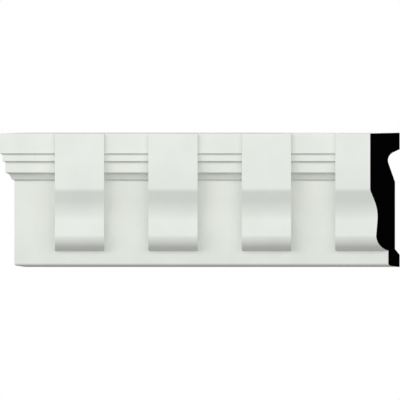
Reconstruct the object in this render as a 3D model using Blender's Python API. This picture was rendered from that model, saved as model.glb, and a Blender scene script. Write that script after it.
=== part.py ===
"""A length of dentil moulding: a stepped crown on a plain board, with scrolled brackets evenly spaced along it.

The whole length is one casting, flat against the wall behind and mitred at both ends.
X runs along the wall, the front faces -Y and Z is up. The origin is in the wall plane, at the middle of the
upper land, which is the higher of the two flats that bear on the wall.
Lengths are in metres and angles in degrees. A depth is measured out from the wall plane.
"""

import math

import bmesh
import bpy

# Spacing along the wall, and the two ends
REPEAT = 0.1000  # from one bracket's centre line to the next
BRACKET_COUNT = 4
BRACKET_WIDTH = 0.0528
FIRST_BRACKET = 0.0575  # from the left end at the wall to the first bracket's centre line
MITRE_ANGLE = 45.0  # of both ends, in plan: the left end runs out past the wall length and the right end runs in

# The board and its back
RELIEF_DEPTH = 0.0050  # how far the back stands off the wall between the two lands
BOARD_WALL = 0.0072  # thickness of the board in front of the relief
UPPER_LAND = 0.0178  # height of the flat behind the crown
LOWER_LAND = 0.0131  # height of the flat along the foot
COVE_DEPTH = 0.0075  # how much deeper the cove behind the crown goes than the relief
COVE_RADIUS = 0.0095
COVE_ROOF_ANGLE = 25.0  # from level, falling away from the wall
COVE_FLOOR_ANGLE = 19.4  # from upright, coming back to the relief
FOOT_SPLAY_ANGLE = 39.5  # from upright, between the relief and the lower land

# The crown, from the top down. Each step stands out from what is below it, and its soffit falls towards the wall.
TOP_FALL_ANGLE = 1.6  # of the top, from level, down to the front
FASCIA_HEIGHT = 0.0213
FASCIA_STEP = 0.0027
FASCIA_SOFFIT = 0.0013
FILLET_HEIGHT = 0.0070
FILLET_STEP = 0.0032
FILLET_SOFFIT = 0.0008
BAND_HEIGHT = 0.0114
BAND_STEP = 0.0042
BAND_SOFFIT = 0.0019
SPLAY_HEIGHT = 0.0056
SPLAY_LEAN = 0.0029  # how far the splay leans out over its height
SPLAY_STEP = 0.0025
SPLAY_SOFFIT = 0.0007

# The brackets, from the top down, and the board below them
BRACKET_STEP = 0.0039  # how far the upright face stands out from the fascia
BRACKET_FACE_HEIGHT = 0.0606
SHOULDER_RADIUS = 0.0110  # where the upright face turns into the throat
THROAT_HEIGHT = 0.0213
THROAT_SETBACK = 0.0087  # from the upright face to the deepest corner of the throat
THROAT_RADIUS = 0.0460
NOSE_DROP = 0.0267  # from the throat's corner down to the middle of the nose
NOSE_STEP = 0.0023  # how far the nose stands out from the throat's corner
NOSE_RADIUS = 0.0171
NOSE_LIP_ANGLE = 2.5  # from level, how far below its front the nose's round starts, at a slight lip
STRIP_HEIGHT = 0.0171  # plain board below the brackets
EDGE_RADIUS = 0.0030  # of the board's lower front edge
UNDERSIDE_ANGLE = 7.5  # from level, down to the wall

# Modelling values
ROUND_STEP = 3.5  # most that a round turns between two of its edges
OVERCUT = 0.0060  # how far a shape runs past the cut that trims it

# The finish: white primer
PRIMER_COLOUR = (0.80, 0.83, 0.78, 1.0)
PRIMER_ROUGHNESS = 0.45

# Depths from the wall, worked out from the steps
BOARD_DEPTH = RELIEF_DEPTH + BOARD_WALL
SPLAY_FOOT_DEPTH = BOARD_DEPTH + SPLAY_STEP
SPLAY_TOP_DEPTH = SPLAY_FOOT_DEPTH + SPLAY_LEAN
BAND_DEPTH = SPLAY_TOP_DEPTH + BAND_STEP
FILLET_DEPTH = BAND_DEPTH + FILLET_STEP
FASCIA_DEPTH = FILLET_DEPTH + FASCIA_STEP
BRACKET_DEPTH = FASCIA_DEPTH + BRACKET_STEP
THROAT_DEPTH = BRACKET_DEPTH - THROAT_SETBACK
NOSE_CENTRE_DEPTH = THROAT_DEPTH + NOSE_STEP - NOSE_RADIUS

# Heights, worked out from the origin
TOP_AT_WALL = UPPER_LAND / 2
SHOULDER_HEIGHT = (
    TOP_AT_WALL - BRACKET_DEPTH * math.tan(math.radians(TOP_FALL_ANGLE)) - BRACKET_FACE_HEIGHT
)
THROAT_CORNER_HEIGHT = SHOULDER_HEIGHT - THROAT_HEIGHT
NOSE_CENTRE_HEIGHT = THROAT_CORNER_HEIGHT - NOSE_DROP
FOOT_HEIGHT = NOSE_CENTRE_HEIGHT - NOSE_RADIUS - STRIP_HEIGHT

# The ends, at the wall
LEFT_END = -REPEAT * BRACKET_COUNT / 2
RIGHT_END = REPEAT * BRACKET_COUNT / 2
MITRE_RUN = math.tan(math.radians(MITRE_ANGLE))  # how far an end runs along the wall for each metre of depth


def clear_scene():
    """Removes what a new file holds."""
    for old in list(bpy.data.objects):
        bpy.data.objects.remove(old, do_unlink=True)


def arc(depth, height, radius, first, last):
    """Points (depth, height) round a centre. The angles start straight out from the wall and turn downwards."""
    steps = max(1, math.ceil(abs(last - first) / math.radians(ROUND_STEP)))
    angles = [first + (last - first) * step / steps for step in range(steps + 1)]
    return [(depth + radius * math.cos(angle), height - radius * math.sin(angle)) for angle in angles]


def rounded(before, corner, after, radius):
    """Points of the round that replaces a corner. It takes at most half of the straight on either side."""
    back = (before[0] - corner[0], before[1] - corner[1])
    on = (after[0] - corner[0], after[1] - corner[1])
    half_angle = abs(math.atan2(back[0] * on[1] - back[1] * on[0], back[0] * on[0] + back[1] * on[1])) / 2
    reach = min(radius / math.tan(half_angle), math.hypot(*back) / 2, math.hypot(*on) / 2)
    radius = reach * math.tan(half_angle)
    start = tuple(corner[i] + back[i] * reach / math.hypot(*back) for i in range(2))
    end = tuple(corner[i] + on[i] * reach / math.hypot(*on) for i in range(2))
    middle = tuple((start[i] + end[i]) / 2 - corner[i] for i in range(2))
    to_centre = reach / math.cos(half_angle) / math.hypot(*middle)
    centre = tuple(corner[i] + middle[i] * to_centre for i in range(2))
    first = math.atan2(centre[1] - start[1], start[0] - centre[0])
    last = math.atan2(centre[1] - end[1], end[0] - centre[0])
    turn = (last - first + math.pi) % math.tau - math.pi
    return arc(*centre, radius, first, first + turn)


def board_outline():
    """The board with its crown, down the front and along the underside. Its back is one flat, at the wall."""
    top = TOP_AT_WALL + OVERCUT
    height = TOP_AT_WALL - FASCIA_DEPTH * math.tan(math.radians(TOP_FALL_ANGLE))
    outline = [(0.0, top), (FASCIA_DEPTH, top)]
    steps = (
        (FASCIA_DEPTH, FASCIA_HEIGHT, FILLET_DEPTH, FASCIA_SOFFIT),
        (FILLET_DEPTH, FILLET_HEIGHT, BAND_DEPTH, FILLET_SOFFIT),
        (BAND_DEPTH, BAND_HEIGHT, SPLAY_TOP_DEPTH, BAND_SOFFIT),
        (SPLAY_FOOT_DEPTH, SPLAY_HEIGHT, BOARD_DEPTH, SPLAY_SOFFIT),
    )
    for face_depth, face_height, next_depth, soffit in steps:
        height -= face_height
        outline.append((face_depth, height))
        height -= soffit
        outline.append((next_depth, height))
    foot = (0.0, FOOT_HEIGHT)
    rise = BOARD_DEPTH * math.tan(math.radians(UNDERSIDE_ANGLE))
    outline += rounded(outline[-1], (BOARD_DEPTH, FOOT_HEIGHT + rise), foot, EDGE_RADIUS)
    return outline + [foot]


def bracket_outline():
    """A bracket from the side: an upright face, a hollow throat and a round nose. Its back is inside the board."""
    top = (BRACKET_DEPTH, TOP_AT_WALL + 2 * OVERCUT)
    back = RELIEF_DEPTH + BOARD_WALL / 2
    shoulder = (BRACKET_DEPTH, SHOULDER_HEIGHT)
    throat = (THROAT_DEPTH, THROAT_CORNER_HEIGHT)
    under = math.acos(max(0.0, back - NOSE_CENTRE_DEPTH) / NOSE_RADIUS)
    nose = arc(NOSE_CENTRE_DEPTH, NOSE_CENTRE_HEIGHT, NOSE_RADIUS, math.radians(NOSE_LIP_ANGLE), under)
    outline = [(back, top[1]), top]
    outline += rounded(top, shoulder, throat, SHOULDER_RADIUS)
    outline += rounded(shoulder, throat, nose[0], THROAT_RADIUS)
    outline += nose
    if NOSE_CENTRE_DEPTH > back:
        outline.append((back, nose[-1][1]))
    return outline


def hollow_outline():
    """The space behind the casting: a cove under the upper land, then the shallow relief down to the lower land."""
    roof = math.radians(COVE_ROOF_ANGLE)
    floor = math.radians(COVE_FLOOR_ANGLE)
    splay = math.radians(FOOT_SPLAY_ANGLE)
    land = TOP_AT_WALL - UPPER_LAND
    foot = FOOT_HEIGHT + LOWER_LAND
    centre_depth = RELIEF_DEPTH + COVE_DEPTH - COVE_RADIUS
    centre_height = land - (COVE_RADIUS + centre_depth * math.sin(roof)) / math.cos(roof)
    cove = arc(centre_depth, centre_height, COVE_RADIUS, roof - math.pi / 2, floor)
    relief_top = cove[-1][1] - (cove[-1][0] - RELIEF_DEPTH) / math.tan(floor)
    outline = [(-OVERCUT, land + OVERCUT * math.tan(roof))]
    outline += cove
    outline.append((RELIEF_DEPTH, relief_top))
    outline.append((RELIEF_DEPTH, foot + RELIEF_DEPTH / math.tan(splay)))
    outline.append((-OVERCUT, foot - OVERCUT / math.tan(splay)))
    return outline


def prism(name, corners, travel):
    """A closed solid: a flat outline of (x, y, z) corners, carried along travel."""
    shape = bmesh.new()
    face = shape.faces.new([shape.verts.new(corner) for corner in corners])
    carried = bmesh.ops.extrude_face_region(shape, geom=[face])
    moved = [item for item in carried["geom"] if isinstance(item, bmesh.types.BMVert)]
    bmesh.ops.translate(shape, verts=moved, vec=travel)
    bmesh.ops.recalc_face_normals(shape, faces=shape.faces)
    mesh = bpy.data.meshes.new(name)
    shape.to_mesh(mesh)
    shape.free()
    solid = bpy.data.objects.new(name, mesh)
    bpy.context.scene.collection.objects.link(solid)
    return solid


def along_wall(name, outline, left, right):
    """A solid with an outline of (depth, height) points, from left to right along the wall."""
    corners = [(left, -depth, height) for depth, height in outline]
    return prism(name, corners, (right - left, 0.0, 0.0))


def board():
    """The board and crown, long enough for both mitres to cut."""
    left = LEFT_END - BRACKET_DEPTH * MITRE_RUN - OVERCUT
    return along_wall("board", board_outline(), left, RIGHT_END + OVERCUT)


def brackets():
    """The brackets, each in its place. The last one runs on through the right mitre, so only its left side shows."""
    made = []
    for number in range(BRACKET_COUNT):
        left = LEFT_END + FIRST_BRACKET + number * REPEAT - BRACKET_WIDTH / 2
        right = left + BRACKET_WIDTH
        if number == BRACKET_COUNT - 1:
            right = RIGHT_END + 2 * OVERCUT
        made.append(along_wall(f"bracket_{number + 1}", bracket_outline(), left, right))
    return made


def hollow_cutter():
    """Takes out the cove and relief from end to end."""
    left = LEFT_END - BRACKET_DEPTH * MITRE_RUN - 2 * OVERCUT
    return along_wall("hollow_cutter", hollow_outline(), left, RIGHT_END + 3 * OVERCUT)


def top_cutter():
    """Takes off all that is above the top, which falls a little to the front."""
    fall = math.tan(math.radians(TOP_FALL_ANGLE))
    front = BRACKET_DEPTH + OVERCUT
    high = TOP_AT_WALL + 4 * OVERCUT
    outline = [
        (-OVERCUT, TOP_AT_WALL + OVERCUT * fall),
        (front, TOP_AT_WALL - front * fall),
        (front, high),
        (-OVERCUT, high),
    ]
    left = LEFT_END - BRACKET_DEPTH * MITRE_RUN - 2 * OVERCUT
    return along_wall("top_cutter", outline, left, RIGHT_END + 3 * OVERCUT)


def mitre_cutter(name, end, outward):
    """Takes off what is past a mitre. The end is where the mitre meets the wall, and outward is -1 or 1 along X."""
    low = FOOT_HEIGHT - OVERCUT
    high = TOP_AT_WALL + 5 * OVERCUT
    behind = -OVERCUT
    front = BRACKET_DEPTH + OVERCUT
    past = end + outward * (front * MITRE_RUN + 4 * OVERCUT)
    corners = [
        (end - behind * MITRE_RUN, -behind, low),
        (end - front * MITRE_RUN, -front, low),
        (past, -front, low),
        (past, -behind, low),
    ]
    return prism(name, corners, (0.0, 0.0, high - low))


def cast(body, added, taken):
    """Joins the added solids to body, takes the others out of it, and leaves body as the one finished solid."""
    steps = [(solid, "UNION") for solid in added] + [(solid, "DIFFERENCE") for solid in taken]
    for solid, operation in steps:
        cut = body.modifiers.new(solid.name, "BOOLEAN")
        cut.operation = operation
        cut.solver = "EXACT"
        cut.object = solid
    depsgraph = bpy.context.evaluated_depsgraph_get()
    finished = bpy.data.meshes.new_from_object(body.evaluated_get(depsgraph))
    body.modifiers.clear()
    body.data = finished
    for solid, _ in steps:
        bpy.data.objects.remove(solid, do_unlink=True)


def white_primer():
    """The factory coat of white primer."""
    primer = bpy.data.materials.new("white_primer")
    primer.use_nodes = True
    shader = primer.node_tree.nodes["Principled BSDF"]
    shader.inputs["Base Color"].default_value = PRIMER_COLOUR
    shader.inputs["Roughness"].default_value = PRIMER_ROUGHNESS
    shader.inputs["Metallic"].default_value = 0.0
    return primer


def dentil_moulding():
    """The finished casting."""
    moulding = board()
    cutters = [
        hollow_cutter(),
        top_cutter(),
        mitre_cutter("left_mitre_cutter", LEFT_END, -1),
        mitre_cutter("right_mitre_cutter", RIGHT_END, 1),
    ]
    cast(moulding, brackets(), cutters)
    moulding.name = "dentil_moulding"
    moulding.data.name = "dentil_moulding"
    moulding.data.shade_smooth()
    moulding.data.set_sharp_from_angle(angle=math.radians(3 * ROUND_STEP))
    moulding.data.materials.clear()
    moulding.data.materials.append(white_primer())
    return moulding


clear_scene()
dentil_moulding()
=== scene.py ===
"""Dresses the dentil moulding: a white-primed casting with black-sealed mitres, in soft studio light.

The casting's form comes from the frame. Here its arrises are eased as a mould leaves them, and each of
its surfaces gets its own finish. Lengths are in metres. X runs along the wall, and the front faces -Y.
"""

import logging
import math
from dataclasses import dataclass, field
from enum import Enum
from typing import Any, Union

import bmesh
import bpy
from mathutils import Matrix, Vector


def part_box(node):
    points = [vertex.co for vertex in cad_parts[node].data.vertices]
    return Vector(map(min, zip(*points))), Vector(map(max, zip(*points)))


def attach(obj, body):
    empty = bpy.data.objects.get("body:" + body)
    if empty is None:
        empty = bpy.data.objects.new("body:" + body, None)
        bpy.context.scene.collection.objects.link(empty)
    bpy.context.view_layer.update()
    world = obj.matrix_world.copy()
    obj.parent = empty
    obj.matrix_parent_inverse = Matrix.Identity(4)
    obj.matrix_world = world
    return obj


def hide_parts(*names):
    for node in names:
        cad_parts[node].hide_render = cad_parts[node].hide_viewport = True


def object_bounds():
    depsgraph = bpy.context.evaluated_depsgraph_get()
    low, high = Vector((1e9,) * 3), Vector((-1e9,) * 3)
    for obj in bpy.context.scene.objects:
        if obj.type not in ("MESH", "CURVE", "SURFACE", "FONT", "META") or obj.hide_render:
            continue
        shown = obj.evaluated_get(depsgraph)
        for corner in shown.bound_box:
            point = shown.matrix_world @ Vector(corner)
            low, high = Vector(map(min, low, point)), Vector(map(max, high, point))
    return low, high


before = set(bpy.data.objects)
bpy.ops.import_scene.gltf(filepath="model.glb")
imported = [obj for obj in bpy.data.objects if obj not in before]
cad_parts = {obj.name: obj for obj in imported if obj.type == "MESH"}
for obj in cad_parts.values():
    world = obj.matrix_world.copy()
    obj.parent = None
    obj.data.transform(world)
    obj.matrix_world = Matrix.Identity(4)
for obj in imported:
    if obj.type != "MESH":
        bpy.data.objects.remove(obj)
CAD_BOX = [list(corner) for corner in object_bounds()]

# The cosines above which a face looks straight along a direction, and leans towards it.
SQUARE_ON = 0.999
LEANING = 0.3

# A wave texture of scale 1 repeats about this often, in metres.
WAVE_PERIOD = 0.3

# The Mix node has several sockets of one name, so each is found by its type as well.
MIX_SOCKETS = (("Factor", "VALUE"), ("A", "RGBA"), ("B", "RGBA"))

WHITE = (1.0, 1.0, 1.0, 1.0)
BLACK = (0.0, 0.0, 0.0, 1.0)
Colour = tuple[float, float, float]
log = logging.getLogger("dentil_moulding")


class Term:
    """A number in a shader, held as a socket. Arithmetic on it adds Math nodes."""

    def __init__(self, graph: "Graph", socket: bpy.types.NodeSocket) -> None:
        """Wraps a socket.

        Args:
            graph: The graph that the socket is in.
            socket: The output that carries the number.
        """
        self.graph = graph
        self.socket = socket

    def math(self, operation: str, *values: "Number") -> "Term":
        """Adds one Math node.

        Args:
            operation: The node's operation.
            values: What goes into its sockets, in order.

        Returns:
            The node's result.
        """
        inputs = dict(enumerate(values))
        return self.graph.term("ShaderNodeMath", {"operation": operation}, inputs, 0)

    def __add__(self, other: "Number") -> "Term":
        """Self plus other."""
        return self.math("ADD", self, other)

    def __radd__(self, other: "Number") -> "Term":
        """Other plus self."""
        return self.math("ADD", other, self)

    def __sub__(self, other: "Number") -> "Term":
        """Self less other."""
        return self.math("SUBTRACT", self, other)

    def __rsub__(self, other: "Number") -> "Term":
        """Other less self."""
        return self.math("SUBTRACT", other, self)

    def __mul__(self, other: "Number") -> "Term":
        """Self times other."""
        return self.math("MULTIPLY", self, other)

    def __rmul__(self, other: "Number") -> "Term":
        """Other times self."""
        return self.math("MULTIPLY", other, self)

    def clear_of(self, low: float, high: float) -> "Term":
        """How far the number has risen from low to high, eased, from 0 to 1.

        Args:
            low: Where the result leaves 0.
            high: Where the result reaches 1.

        Returns:
            The eased share.
        """
        settings = {"interpolation_type": "SMOOTHSTEP"}
        inputs = {"Value": self, "From Min": low, "From Max": high, "To Min": 0.0, "To Max": 1.0}
        return self.graph.term("ShaderNodeMapRange", settings, inputs, "Result")


Number = Union[Term, float]


class Graph:
    """The nodes of one material, ending in a Principled shader."""

    def __init__(self, name: str) -> None:
        """Starts a material.

        Args:
            name: The material's name.
        """
        self.material = bpy.data.materials.new(name)
        self.material.use_nodes = True
        self.tree = self.material.node_tree
        self.shader = self.tree.nodes["Principled BSDF"]

    def node(self, kind: str, settings: dict[str, Any], inputs: dict[Any, Any]) -> bpy.types.Node:
        """Adds one node.

        Args:
            kind: The node's type.
            settings: Its properties, which are set first.
            inputs: What goes into its sockets, by name or number: a term, a socket or a plain value.

        Returns:
            The node.
        """
        made = self.tree.nodes.new(kind)
        for name, value in settings.items():
            setattr(made, name, value)
        for name, value in inputs.items():
            self.feed(made.inputs[name], value)
        return made

    def feed(self, socket: bpy.types.NodeSocket, value: Any) -> None:
        """Links a term or a socket to an input, or sets the input to a plain value.

        Args:
            socket: The input.
            value: The term, the socket or the plain value that goes into it.
        """
        if isinstance(value, Term):
            value = value.socket
        if isinstance(value, bpy.types.NodeSocket):
            self.tree.links.new(value, socket)
        else:
            socket.default_value = value

    def term(self, kind: str, settings: dict[str, Any], inputs: dict[Any, Any], output: Any) -> Term:
        """Adds one node and wraps the output that carries its number."""
        return Term(self, self.node(kind, settings, inputs).outputs[output])

    def places(self) -> bpy.types.NodeSocket:
        """Where each point of the casting is, in metres."""
        return self.node("ShaderNodeTexCoord", {}, {}).outputs["Object"]

    def noise(self, grain: float, detail: float, seed: float) -> Term:
        """Soft noise between 0 and 1.

        Args:
            grain: The size of its patches, in metres.
            detail: How many finer layers it has.
            seed: Sets it apart from other noise of the same grain.

        Returns:
            The noise.
        """
        inputs = {"Vector": self.places(), "W": seed, "Scale": 1.0 / grain, "Detail": detail}
        return self.term("ShaderNodeTexNoise", {"noise_dimensions": "4D"}, inputs, "Fac")

    def cells(self, grain: float, smooth: float) -> Term:
        """Distance from the middle of rounded cells, as in foam.

        Args:
            grain: The size of a cell, in metres.
            smooth: How soft the walls between cells are.

        Returns:
            The distance, about 0 at a cell's middle.
        """
        settings = {"feature": "SMOOTH_F1", "voronoi_dimensions": "3D"}
        inputs = {"Vector": self.places(), "Scale": 1.0 / grain, "Smoothness": smooth}
        return self.term("ShaderNodeTexVoronoi", settings, inputs, "Distance")

    def blend(self, share: Number, first: Any, second: Any) -> bpy.types.NodeSocket:
        """A colour between two others.

        Args:
            share: How much of the second colour there is.
            first: The colour, or the socket that carries it, at a share of 0.
            second: The same at a share of 1.

        Returns:
            The socket with the mixed colour.
        """
        mix = self.node("ShaderNodeMix", {"data_type": "RGBA", "blend_type": "MIX"}, {})
        factor, low, high = (self.one(mix.inputs, name, kind) for name, kind in MIX_SOCKETS)
        self.feed(factor, share)
        self.feed(low, opaque(first))
        self.feed(high, opaque(second))
        return self.one(mix.outputs, "Result", "RGBA")

    @staticmethod
    def one(sockets: Any, name: str, kind: str) -> bpy.types.NodeSocket:
        """The socket with this name and type, out of several that share the name."""
        return next(socket for socket in sockets if socket.name == name and socket.type == kind)

    def relief(self, *layers: tuple[Number, float]) -> None:
        """Gives the surface a fine relief.

        Args:
            layers: Each layer's height, from 0 to 1, and how many metres that stands for.
        """
        normal = None
        for height, depth in layers:
            inputs = {"Height": height, "Distance": depth, "Strength": 1.0}
            if normal is not None:
                inputs["Normal"] = normal
            normal = self.node("ShaderNodeBump", {}, inputs).outputs["Normal"]
        self.feed(self.shader.inputs["Normal"], normal)

    def finish(self, colour: Any, roughness: Number, specular: float) -> bpy.types.Material:
        """Connects what varies to the shader and sets its constants.

        Args:
            colour: The base colour.
            roughness: The roughness.
            specular: The specular level, the same all over.

        Returns:
            The finished material.
        """
        self.feed(self.shader.inputs["Base Color"], colour)
        self.feed(self.shader.inputs["Roughness"], roughness)
        self.feed(self.shader.inputs["Specular IOR Level"], specular)
        return self.material


def opaque(colour: Any) -> Any:
    """A plain colour with its alpha added, or the socket as it came."""
    return (*colour, 1.0) if isinstance(colour, tuple) else colour


@dataclass(frozen=True)
class FactoryPrimer:
    """Sprayed white primer: satin, with a faint cloudiness and a very fine orange peel."""

    thick: Colour = (0.815, 0.845, 0.795)
    thin: Colour = (0.785, 0.815, 0.765)
    cloud: float = 0.035
    peel: float = 0.0011
    peel_depth: float = 0.000004
    grain: float = 0.0003
    grain_depth: float = 0.0000015
    thick_from: float = 0.35
    thick_to: float = 0.65
    roughness: float = 0.34
    roughness_spread: float = 0.08
    peel_share: float = 0.6
    cloud_share: float = 0.4
    specular: float = 0.5

    def material(self) -> bpy.types.Material:
        """Builds the material.

        Returns:
            The primer, with its relief.
        """
        graph = Graph("factory_primer")
        cloud = graph.noise(self.cloud, detail=4.0, seed=0.0)
        peel = graph.noise(self.peel, detail=2.0, seed=3.0)
        grain = graph.noise(self.grain, detail=1.0, seed=7.0)
        graph.relief((peel, self.peel_depth), (grain, self.grain_depth))
        colour = graph.blend(cloud.clear_of(self.thick_from, self.thick_to), self.thin, self.thick)
        uneven = peel * self.peel_share + cloud * self.cloud_share - 0.5
        return graph.finish(colour, self.roughness + uneven * self.roughness_spread, self.specular)


@dataclass(frozen=True)
class MouldedSkin:
    """The back as it leaves the mould: dull foam skin with pinholes darkened by painted shade, and
    primer blown past the edge.
    """

    skin: Colour = (0.79, 0.78, 0.71)
    # This darker colour serves both as a random stain and as painted shade in the pinholes.
    stain_and_pit_shade: Colour = (0.72, 0.71, 0.64)
    overspray: Colour = (0.80, 0.83, 0.78)
    cloud: float = 0.022
    clean_from: float = 0.35
    clean_to: float = 0.7
    pinhole: float = 0.0026
    pinhole_softness: float = 0.1
    pinhole_depth: float = 0.00025
    rim_from: float = 0.10
    rim_to: float = 0.17
    skin_grain: float = 0.0008
    skin_depth: float = 0.00002
    spray_reach: float = 0.012
    roughness: float = 0.62
    roughness_spread: float = 0.2
    specular: float = 0.3
    top: float = 0.0
    foot: float = 0.0

    def material(self) -> bpy.types.Material:
        """Builds the material.

        Returns:
            The moulded back, with its pinholes.
        """
        graph = Graph("moulded_skin")
        height = graph.term("ShaderNodeSeparateXYZ", {}, {"Vector": graph.places()}, "Z")
        cloud = graph.noise(self.cloud, detail=3.0, seed=1.0)
        ragged = height + (cloud - 0.5) * self.spray_reach
        spray = ragged.clear_of(self.top - self.spray_reach, self.top)
        spray = spray + 1.0 - ragged.clear_of(self.foot, self.foot + self.spray_reach)
        rim = graph.cells(self.pinhole, self.pinhole_softness).clear_of(self.rim_from, self.rim_to)
        grain = graph.noise(self.skin_grain, detail=2.0, seed=5.0)
        graph.relief((rim, self.pinhole_depth), (grain, self.skin_depth))
        skin = graph.blend(cloud.clear_of(self.clean_from, self.clean_to), self.stain_and_pit_shade, self.skin)
        # The pinholes' hollows, where rim is low, take the darker stain colour: painted shade.
        skin = graph.blend(rim, self.stain_and_pit_shade, skin)
        colour = graph.blend(spray.clear_of(0.0, 1.0), skin, self.overspray)
        roughness = self.roughness + (grain - 0.5) * self.roughness_spread
        return graph.finish(colour, roughness, self.specular)


@dataclass(frozen=True)
class SealedCut:
    """A sawn face through the foam, brushed with black sealer: open cells and the marks of the saw,
    with painted shade in their hollows.
    """

    # The first colour is painted shade for the cells' hollows and the saw's grooves, the second the
    # lighter tone of the proud walls.
    shaded_hollow: Colour = (0.0003, 0.0003, 0.0003)
    lit_proud: Colour = (0.0013, 0.0013, 0.0013)
    cell: float = 0.00055
    cell_softness: float = 0.2
    cell_depth: float = 0.00010
    wall_from: float = 0.15
    wall_to: float = 0.55
    saw_pitch: float = 0.0018
    saw_waver: float = 1.5
    saw_depth: float = 0.00002
    wall_share: float = 0.7
    saw_share: float = 0.3
    roughness: float = 0.72
    wall_roughness: float = 0.12
    specular: float = 0.004

    def material(self) -> bpy.types.Material:
        """Builds the material.

        Returns:
            The sealed cut face.
        """
        graph = Graph("sealed_cut")
        wall = graph.cells(self.cell, self.cell_softness).clear_of(self.wall_from, self.wall_to)
        inputs = {
            "Vector": graph.places(),
            "Scale": WAVE_PERIOD / self.saw_pitch,
            "Distortion": self.saw_waver,
            "Detail": 2.0,
        }
        settings = {"wave_type": "BANDS", "bands_direction": "Z"}
        saw = graph.term("ShaderNodeTexWave", settings, inputs, "Fac")
        graph.relief((saw, self.saw_depth), (wall, self.cell_depth))
        # The colour darkens where the relief is low, in the cells and the saw's grooves: painted shade.
        height = wall * self.wall_share + saw * self.saw_share
        colour = graph.blend(height, self.shaded_hollow, self.lit_proud)
        return graph.finish(colour, self.roughness + wall * self.wall_roughness, self.specular)


class Surface(Enum):
    """The surfaces of the casting, by the number of their material slot."""

    FRONT = 0
    BACK = 1
    CUT = 2

    @classmethod
    def of(cls, face: bmesh.types.BMFace, mitre: Vector) -> "Surface":
        """Which surface a face belongs to.

        Args:
            face: A face of the casting.
            mitre: The direction that a mitre faces, either way.

        Returns:
            The surface.
        """
        if abs(face.normal.dot(mitre)) > SQUARE_ON:
            return cls.CUT
        return cls.BACK if face.normal.y > LEANING else cls.FRONT


class Arris(Enum):
    """Where two faces of the casting meet, with the width of its easing."""

    OPEN = 0.00030
    SIDE = 0.00025
    UNDERCUT = 0.00012
    INNER = 0.00020

    @classmethod
    def of(cls, edge: bmesh.types.BMEdge) -> "Arris":
        """Which kind an edge is.

        A bracket's side has one kind of arris all round, because a change along a round would pinch it.

        Args:
            edge: An edge of the casting.

        Returns:
            An inner corner, an arris of a bracket's side, one that looks down, or an open one.
        """
        if not edge.is_convex:
            return cls.INNER
        if any(abs(face.normal.x) > SQUARE_ON for face in edge.link_faces):
            return cls.SIDE
        facing = sum((face.normal for face in edge.link_faces), Vector())
        return cls.UNDERCUT if facing.normalized().z < -LEANING else cls.OPEN


@dataclass
class Casting:
    """The whole moulding, a single casting that stands for the frame's solid."""

    node: str = "dentil_moulding"
    name: str = "primed_casting"
    slot: str = "white_primer"
    weld: float = 0.00001
    flat_within: float = math.radians(0.4)
    arris_above: float = math.radians(10.0)
    arris_segments: int = 3
    flatness: int = 100
    mitre: Vector = field(default_factory=lambda: Vector((1.0, -1.0, 0.0)).normalized())

    def solid(self) -> bmesh.types.BMesh:
        """A copy of the frame's solid, with its triangles joined into whole faces.

        Returns:
            The copy, which the caller frees.
        """
        shape = bmesh.new()
        shape.from_mesh(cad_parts[self.node].data)
        bmesh.ops.remove_doubles(shape, verts=shape.verts, dist=self.weld)
        bmesh.ops.dissolve_limit(
            shape,
            angle_limit=self.flat_within,
            verts=shape.verts,
            edges=shape.edges,
            use_dissolve_boundaries=False,
        )
        return shape

    def mark_arrises(self, shape: bmesh.types.BMesh) -> None:
        """Marks how far each arris and inner corner is eased. What the saw made stays sharp.

        Args:
            shape: The casting, whose edges get the marks.
        """
        mark = shape.edges.layers.float.new("bevel_weight_edge")
        for edge in shape.edges:
            if edge.calc_face_angle(0.0) < self.arris_above:
                continue
            if any(Surface.of(face, self.mitre) is Surface.CUT for face in edge.link_faces):
                edge.smooth = False
            else:
                edge[mark] = Arris.of(edge).value / Arris.OPEN.value

    def build(self) -> bpy.types.Object:
        """Makes the casting's object, in the frame's place.

        Returns:
            The object, with its faces sorted by surface.
        """
        shape = self.solid()
        self.mark_arrises(shape)
        for face in shape.faces:
            face.material_index = Surface.of(face, self.mitre).value
            face.smooth = True
        mesh = bpy.data.meshes.new(self.name)
        shape.to_mesh(mesh)
        shape.free()
        piece = bpy.data.objects.new(self.name, mesh)
        bpy.context.scene.collection.objects.link(piece)
        ease = piece.modifiers.new("eased_arrises", "BEVEL")
        ease.limit_method = "WEIGHT"
        ease.width = Arris.OPEN.value
        ease.segments = self.arris_segments
        ease.profile = 0.5
        ease.material = -1
        ease.use_clamp_overlap = False
        even = piece.modifiers.new("even_shading", "WEIGHTED_NORMAL")
        even.mode = "FACE_AREA"
        even.weight = self.flatness
        even.keep_sharp = True
        return piece

    def dress(self, piece: bpy.types.Object) -> None:
        """Gives each surface its finish.

        Args:
            piece: The casting's object.
        """
        low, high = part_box(self.node)
        finishes = {
            Surface.FRONT: FactoryPrimer(),
            Surface.BACK: MouldedSkin(top=high.z, foot=low.z),
            Surface.CUT: SealedCut(),
        }
        for surface in Surface:
            piece.data.materials.append(finishes[surface].material())

    def place(self) -> bpy.types.Object:
        """Builds and dresses the casting, and puts it in the frame's node's stead.

        Returns:
            The casting's object.
        """
        piece = self.build()
        self.dress(piece)
        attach(piece, "root")
        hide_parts(self.node)
        return piece


def only_seen(stage: bpy.types.Object) -> None:
    """Keeps a stage object from lighting or shading the moulding, so that only the camera sees it."""
    for ray in ("diffuse", "glossy", "transmission", "volume_scatter", "shadow"):
        setattr(stage, f"visible_{ray}", False)


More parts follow.
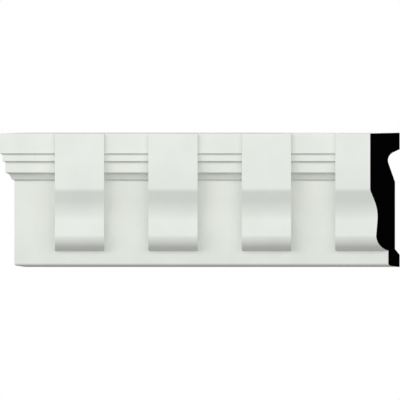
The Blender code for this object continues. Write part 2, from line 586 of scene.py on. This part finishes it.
@dataclass
class Floor:
    """A plain pale floor under the moulding's foot. It glows, so that it stays pale far off."""

    half: float = 6.9
    colour: Colour = (0.50, 0.50, 0.50)
    roughness: float = 0.9
    glow: float = 0.7
    below: float = 0.0002

    def place(self) -> bpy.types.Object:
        """Makes the floor.

        Returns:
            The floor's object.
        """
        shape = bmesh.new()
        bmesh.ops.create_grid(shape, x_segments=1, y_segments=1, size=self.half)
        bmesh.ops.translate(shape, verts=shape.verts, vec=(0.0, 0.0, CAD_BOX[0][2] - self.below))
        mesh = bpy.data.meshes.new("floor")
        shape.to_mesh(mesh)
        shape.free()
        floor = bpy.data.objects.new("floor", mesh)
        bpy.context.scene.collection.objects.link(floor)
        graph = Graph("floor_paint")
        graph.feed(graph.shader.inputs["Emission Color"], WHITE)
        graph.feed(graph.shader.inputs["Emission Strength"], self.glow)
        mesh.materials.append(graph.finish(opaque(self.colour), self.roughness, 0.0))
        only_seen(floor)
        return floor


@dataclass
class Backdrop:
    """A white dome round the floor, which only the camera sees, so that it lights nothing."""

    radius: float = 7.0
    around: int = 32
    rings: int = 16
    glow: float = 1.0

    def place(self) -> bpy.types.Object:
        """Makes the dome.

        Returns:
            The dome's object.
        """
        shape = bmesh.new()
        bmesh.ops.create_uvsphere(
            shape, u_segments=self.around, v_segments=self.rings, radius=self.radius
        )
        mesh = bpy.data.meshes.new("backdrop")
        shape.to_mesh(mesh)
        shape.free()
        dome = bpy.data.objects.new("backdrop", mesh)
        bpy.context.scene.collection.objects.link(dome)
        graph = Graph("backdrop_white")
        graph.feed(graph.shader.inputs["Base Color"], BLACK)
        graph.feed(graph.shader.inputs["Specular IOR Level"], 0.0)
        graph.feed(graph.shader.inputs["Emission Color"], WHITE)
        graph.feed(graph.shader.inputs["Emission Strength"], self.glow)
        mesh.materials.append(graph.material)
        only_seen(dome)
        return dome


@dataclass(frozen=True)
class SoftBox:
    """One square soft box, aimed at the moulding, which the camera doesn't see."""

    name: str
    turn: float
    rise: float
    watts: float
    away: float = 1.6
    side: float = 0.7

    def hang(self, aim: Vector) -> None:
        """Hangs the box.

        Args:
            aim: The point that it faces.
        """
        level = math.cos(self.rise)
        across, back = math.sin(self.turn) * level, -math.cos(self.turn) * level
        towards = Vector((across, back, math.sin(self.rise)))
        soft = bpy.data.lights.new(self.name, "AREA")
        soft.shape = "SQUARE"
        soft.size = self.side
        soft.energy = self.watts
        lamp = bpy.data.objects.new(self.name, soft)
        lamp.location = aim + towards * self.away
        lamp.rotation_euler = (-towards).to_track_quat("-Z", "Y").to_euler()
        lamp.visible_camera = False
        bpy.context.scene.collection.objects.link(lamp)


@dataclass
class Studio:
    """The light and the camera: soft boxes, mostly in front, an even fill, and a level front view."""

    boxes: tuple[SoftBox, ...] = (
        SoftBox("soft_box_side", math.radians(-65.0), math.radians(15.0), 3.2),
        SoftBox("soft_box_left", math.radians(-40.0), math.radians(30.0), 6.2),
        SoftBox("soft_box_front_left", math.radians(-15.0), math.radians(30.0), 4.7),
        SoftBox("soft_box_front_right", math.radians(15.0), math.radians(15.0), 4.1),
        SoftBox("soft_box_right", math.radians(40.0), math.radians(30.0), 4.6),
        SoftBox("soft_box_back", math.radians(165.0), math.radians(0.0), 3.5),
    )
    fill: float = 0.34
    view_away: float = 4.0
    view_far: float = 20.0
    view_width: float = 0.4278
    view_centre: tuple[float, float] = (-0.0136, -0.0631)

    def light(self) -> None:
        """Hangs the soft boxes and sets the fill."""
        for box in self.boxes:
            box.hang(Vector((0.0, 0.0, self.view_centre[1])))
        world = bpy.data.worlds.new("fill")
        world.use_nodes = True
        ambient = world.node_tree.nodes["Background"]
        ambient.inputs["Color"].default_value = WHITE
        ambient.inputs["Strength"].default_value = self.fill
        bpy.context.scene.world = world

    def camera(self) -> None:
        """Sets up the level view from straight in front, with no perspective."""
        lens = bpy.data.cameras.new("front_view")
        lens.type = "ORTHO"
        lens.ortho_scale = self.view_width
        lens.clip_end = self.view_far
        eye = bpy.data.objects.new("front_view", lens)
        eye.location = (self.view_centre[0], -self.view_away, self.view_centre[1])
        eye.rotation_euler = (math.radians(90.0), 0.0, 0.0)
        bpy.context.scene.collection.objects.link(eye)
        bpy.context.scene.camera = eye

    def place(self) -> None:
        """Lights the scene, sets the camera, and shows colours as they are lit."""
        self.light()
        self.camera()
        bpy.context.scene.view_settings.view_transform = "Standard"
        bpy.context.scene.view_settings.look = "None"


def main() -> None:
    """Builds the studio and the casting."""
    logging.basicConfig(level=logging.INFO, format="%(name)s: %(message)s")
    Studio().place()
    for stage in (Floor(), Backdrop()):
        log.info("stage: %s", stage.place().name)
    piece = Casting().place()
    log.info("piece: %s, %d faces", piece.name, len(piece.data.polygons))


if __name__ == "__main__":
    main()
